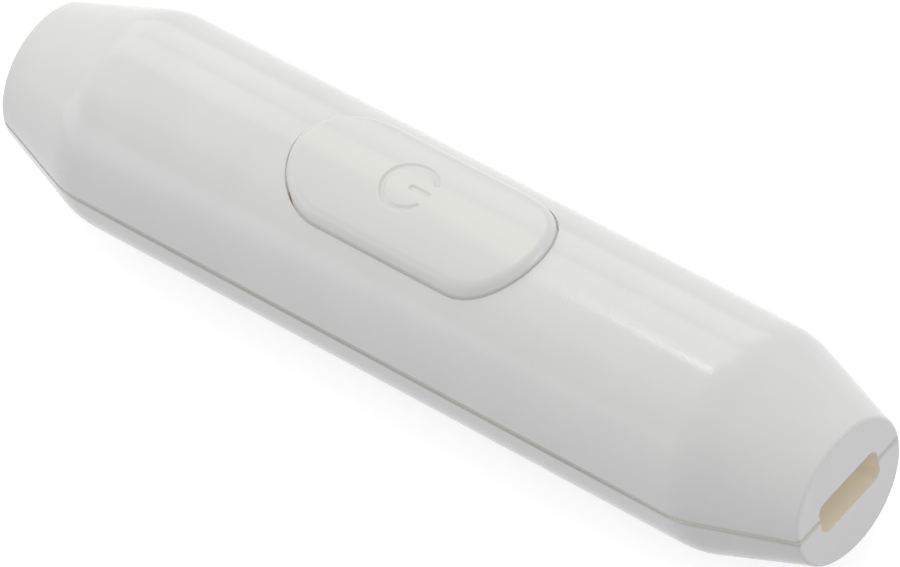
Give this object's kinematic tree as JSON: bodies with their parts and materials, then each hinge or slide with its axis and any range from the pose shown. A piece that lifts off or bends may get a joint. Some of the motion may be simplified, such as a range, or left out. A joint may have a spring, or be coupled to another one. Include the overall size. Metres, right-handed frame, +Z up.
{
  "type": "inline cord switch",
  "caption": "White inline cord switch: split round housing with tapered ends and a flat cord slot in each end face, a domed push key on top and a latching contact mechanism inside.",
  "frame": {"origin": "middle of the flat base under the housing", "axes": "+X along the body towards the end with line_in_terminal, +Z up out of the push key, +Y to the side with the latch chamber"},
  "size_m": [0.084, 0.0192, 0.0194],
  "materials": {
    "housing": "fine satin texture",
    "key": "gloss",
    "nylon": "natural moulded",
    "spring_steel": "bright drawn",
    "screw_steel": "zinc plated",
    "brass": "stamped",
    "copper": "stamped",
    "silver": "polished"
  },
  "bodies": {
    "housing": {"upper_shell": "housing", "lower_shell": "housing", "mechanism_frame": "nylon", "frame_cover": "nylon", "cord_clamp_near": "nylon", "cord_clamp_far": "nylon", "return_spring": "spring_steel", "fixed_tips": "silver", "line_in_terminal": "brass", "line_out_terminal": "brass", "neutral_link": "brass", "terminal_screws": "screw_steel", "clamp_screws": "screw_steel", "housing_screws": "screw_steel"},
    "key": {"push_key": "key", "plunger": "nylon", "contact_bridge": "copper", "moving_tips": "silver", "contact_spring": "spring_steel"},
    "latch": {"latch_pin": "spring_steel"}
  },
  "joints": [
    {"name": "key_press", "type": "slide", "parent": "housing", "child": "key", "axis": [0, 0, -1], "range_m": [0, 0.002], "stiffness_N_per_m": 500, "springref_m": -0.003, "deforming": ["return_spring"]},
    {"name": "latch_swing", "type": "hinge", "parent": "housing", "child": "latch", "pos_m": [0, 0.0044, 0.0106], "axis": [0, 1, 0], "range_deg": [0, 14]}
  ],
  "couplings": [
    {"joint": "latch_swing", "follows": "key_press", "rad_per_m": 122.17}
  ]
}
